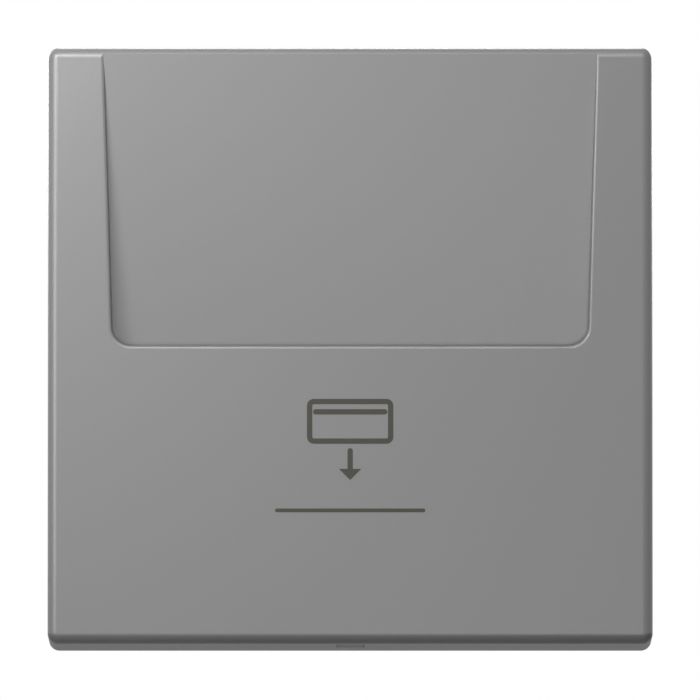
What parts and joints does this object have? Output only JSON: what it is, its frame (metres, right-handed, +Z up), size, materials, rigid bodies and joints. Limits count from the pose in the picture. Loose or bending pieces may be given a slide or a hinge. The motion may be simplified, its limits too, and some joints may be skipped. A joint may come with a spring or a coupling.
{
  "type": "hotel key card switch",
  "caption": "Square wall switch worked by a key card: a sloping front cover with a card ramp and slot, a sprung lever, and a screwless wall-box insert with fixing claws.",
  "frame": {"origin": "centre of the support yoke's back face, on the wall surface, on the wall box's axis", "axes": "+Z up, +X to the right as seen from the room, and the front faces -Y"},
  "size_m": [0.0706, 0.0362, 0.0706],
  "materials": {
    "cover_lacquer": "satin aluminium-grey lacquer on thermoplastic",
    "guide_plastic": "moulded black polycarbonate",
    "lever_plastic": "natural acetal, slightly glossy",
    "plunger_plastic": "red acetal",
    "cap_plastic": "white moulded thermoset",
    "housing_plastic": "light grey moulded thermoset",
    "button_plastic": "orange acetal",
    "yoke_steel": "galvanised sheet steel",
    "screw_steel": "zinc-plated steel",
    "claw_steel": "zinc-plated sheet steel",
    "axle_steel": "ground steel",
    "spring_steel": "drawn spring steel",
    "contact_spring_brass": "rolled bronze strip",
    "rail_brass": "stamped brass",
    "nut_brass": "drawn brass",
    "contact_silver": "silver alloy"
  },
  "bodies": {
    "wall_insert": {"support_yoke": "yoke_steel", "insert_screws": "screw_steel", "insert_cap": "cap_plastic", "insert_base": "housing_plastic", "contact_pin": "axle_steel", "closed_contact": "contact_silver", "open_contact": "contact_silver", "closed_rail": "rail_brass", "open_rail": "rail_brass", "common_rail": "rail_brass", "clamp_spring_common": "spring_steel", "clamp_spring_open": "spring_steel", "clamp_spring_closed": "spring_steel", "claw_pin_right": "axle_steel", "claw_pin_left": "axle_steel", "plunger_spring": "spring_steel"},
    "cover": {"front_cover": "cover_lacquer", "card_guide": "guide_plastic", "guide_screws": "screw_steel", "lever_axle": "axle_steel", "lever_spring": "spring_steel"},
    "lever": {"card_lever": "lever_plastic"},
    "pusher": {"plunger": "plunger_plastic"},
    "arm": {"contact_arm": "contact_spring_brass", "moving_contact": "contact_silver"},
    "button_common": {"release_button_common": "button_plastic"},
    "button_open": {"release_button_open": "button_plastic"},
    "button_closed": {"release_button_closed": "button_plastic"},
    "screw_right": {"claw_screw_right": "screw_steel"},
    "claw_right": {"claw_right": "claw_steel"},
    "nut_right": {"claw_nut_right": "nut_brass"},
    "screw_left": {"claw_screw_left": "screw_steel"},
    "claw_left": {"claw_left": "claw_steel"},
    "nut_left": {"claw_nut_left": "nut_brass"}
  },
  "joints": [
    {"name": "cover_pull", "type": "slide", "parent": "wall_insert", "child": "cover", "axis": [0, -1, 0], "range_m": [0, 0.025]},
    {"name": "card_lever_turn", "type": "hinge", "parent": "cover", "child": "lever", "pos_m": [0, -0.00439, 0.008], "axis": [1, 0, 0], "range_deg": [0, 6], "stiffness_Nm_per_rad": 0.02, "springref_deg": -8.59, "deforming": ["lever_spring"]},
    {"name": "plunger_slide", "type": "slide", "parent": "wall_insert", "child": "pusher", "axis": [0, 1, 0], "range_m": [0, 0.00168], "stiffness_N_per_m": 150, "springref_m": -0.004, "deforming": ["plunger_spring"]},
    {"name": "contact_arm_swing", "type": "hinge", "parent": "wall_insert", "child": "arm", "pos_m": [0, 0.00535, 0.013], "axis": [1, 0, 0], "range_deg": [0, 4.58]},
    {"name": "release_button_common_press", "type": "slide", "parent": "wall_insert", "child": "button_common", "axis": [0, -1, 0], "range_m": [0, 0.0012], "stiffness_N_per_m": 300, "springref_m": -0.001, "deforming": ["clamp_spring_common"]},
    {"name": "release_button_open_press", "type": "slide", "parent": "wall_insert", "child": "button_open", "axis": [0, -1, 0], "range_m": [0, 0.0012], "stiffness_N_per_m": 300, "springref_m": -0.001, "deforming": ["clamp_spring_open"]},
    {"name": "release_button_closed_press", "type": "slide", "parent": "wall_insert", "child": "button_closed", "axis": [0, -1, 0], "range_m": [0, 0.0012], "stiffness_N_per_m": 300, "springref_m": -0.001, "deforming": ["clamp_spring_closed"]},
    {"name": "claw_screw_right_turn", "type": "hinge", "parent": "wall_insert", "child": "screw_right", "pos_m": [0.0247, 0, 0.008], "axis": [0, 1, 0], "range_deg": [0, 970.4]},
    {"name": "claw_right_swing", "type": "hinge", "parent": "wall_insert", "child": "claw_right", "pos_m": [0.0211, 0.0045, 0.0052], "axis": [0, 0, -1], "range_deg": [0, 25]},
    {"name": "claw_nut_right_travel", "type": "slide", "parent": "wall_insert", "child": "nut_right", "axis": [0, -1, 0], "range_m": [0, 0.00135]},
    {"name": "claw_screw_left_turn", "type": "hinge", "parent": "wall_insert", "child": "screw_left", "pos_m": [-0.0247, 0, -0.008], "axis": [0, 1, 0], "range_deg": [0, 970.4]},
    {"name": "claw_left_swing", "type": "hinge", "parent": "wall_insert", "child": "claw_left", "pos_m": [-0.0211, 0.0045, -0.0052], "axis": [0, 0, 1], "range_deg": [0, 25]},
    {"name": "claw_nut_left_travel", "type": "slide", "parent": "wall_insert", "child": "nut_left", "axis": [0, -1, 0], "range_m": [0, 0.00135]}
  ],
  "couplings": [
    {"joint": "card_lever_turn", "follows": "plunger_slide", "rad_per_m": 62.5},
    {"joint": "contact_arm_swing", "follows": "plunger_slide", "rad_per_m": 47.619},
    {"joint": "claw_screw_right_turn", "follows": "claw_nut_right_travel", "rad_per_m": 12566},
    {"joint": "claw_right_swing", "follows": "claw_nut_right_travel", "rad_per_m": 323.7},
    {"joint": "claw_screw_left_turn", "follows": "claw_nut_left_travel", "rad_per_m": 12566},
    {"joint": "claw_left_swing", "follows": "claw_nut_left_travel", "rad_per_m": 323.7}
  ]
}
